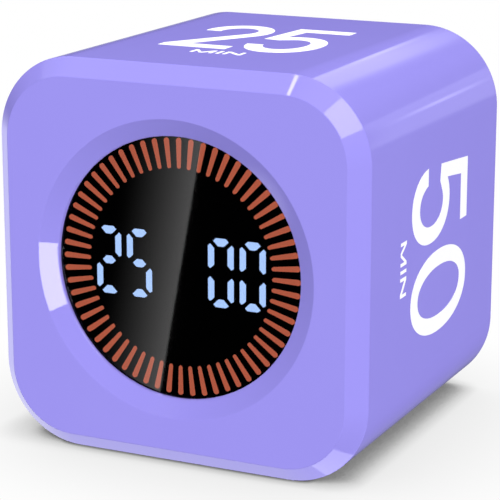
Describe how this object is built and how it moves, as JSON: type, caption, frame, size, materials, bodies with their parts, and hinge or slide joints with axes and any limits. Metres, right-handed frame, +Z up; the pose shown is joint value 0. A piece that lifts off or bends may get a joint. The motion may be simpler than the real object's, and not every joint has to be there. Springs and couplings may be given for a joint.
{
  "type": "cube timer",
  "caption": "Cube timer turned onto a numbered side to start a countdown, with a round dished front, a smoked lens over a ring of light bars and lit digits, and controls on its back.",
  "frame": {"origin": "centre of the box's underside, on the surface that the cube stands on", "axes": "+Z up, display faces -Y, back cover faces +Y"},
  "size_m": [0.06, 0.056, 0.06],
  "materials": {
    "lavender_abs": "moulded, semi-gloss",
    "smoked_acrylic": "polished, dark smoke tint",
    "black_tape": "matt adhesive ring",
    "black_reflector": "moulded, matt",
    "orange_light_bar": "lit diffuser",
    "blue_light_bar": "lit diffuser",
    "circuit_board": "solder mask on glass epoxy",
    "led_body": "clear epoxy on a small chip",
    "chip_epoxy": "moulded epoxy",
    "screw_steel": "zinc plated",
    "sounder_plastic": "moulded",
    "socket_steel": "drawn stainless shell",
    "black_nylon": "moulded",
    "white_nylon": "moulded",
    "cell_foil": "pouch foil",
    "foam": "closed-cell foam tape",
    "lead_pvc": "extruded insulation",
    "ribbon_film": "polyester film on flat copper"
  },
  "bodies": {
    "case": {"housing": "lavender_abs", "back_cover": "lavender_abs", "display_lens": "smoked_acrylic", "lens_tape": "black_tape", "display_frame": "black_reflector", "tick_light_bars": "orange_light_bar", "digit_light_bars": "blue_light_bar", "display_board": "circuit_board", "tick_leds": "led_body", "digit_leds": "led_body", "controller_chip": "chip_epoxy", "gravity_sensor": "chip_epoxy", "display_screws": "screw_steel", "main_board": "circuit_board", "main_board_screws": "screw_steel", "charger_chip": "chip_epoxy", "buzzer": "sounder_plastic", "usb_socket_shell": "socket_steel", "usb_socket_tongue": "black_nylon", "start_key_switch": "black_nylon", "set_key_switch": "black_nylon", "mode_slide_switch": "socket_steel", "battery": "cell_foil", "battery_pad": "foam", "battery_leads": "lead_pvc", "battery_plug": "white_nylon", "ribbon_cable": "ribbon_film", "display_ribbon_socket": "white_nylon", "main_ribbon_socket": "white_nylon", "cover_screws": "screw_steel"},
    "start_button": {"start_button": "lavender_abs", "start_key_plunger": "white_nylon"},
    "set_button": {"set_button": "lavender_abs", "set_key_plunger": "white_nylon"},
    "mode_slider": {"mode_knob": "black_nylon", "mode_switch_lever": "black_nylon"}
  },
  "joints": [
    {"name": "start_press", "type": "slide", "parent": "case", "child": "start_button", "axis": [0, -1, 0], "range_m": [0, 0.0005], "stiffness_N_per_m": 2000},
    {"name": "set_press", "type": "slide", "parent": "case", "child": "set_button", "axis": [0, -1, 0], "range_m": [0, 0.0005], "stiffness_N_per_m": 2000},
    {"name": "mode_slide", "type": "slide", "parent": "case", "child": "mode_slider", "axis": [1, 0, 0], "range_m": [-0.002, 0.002]}
  ]
}
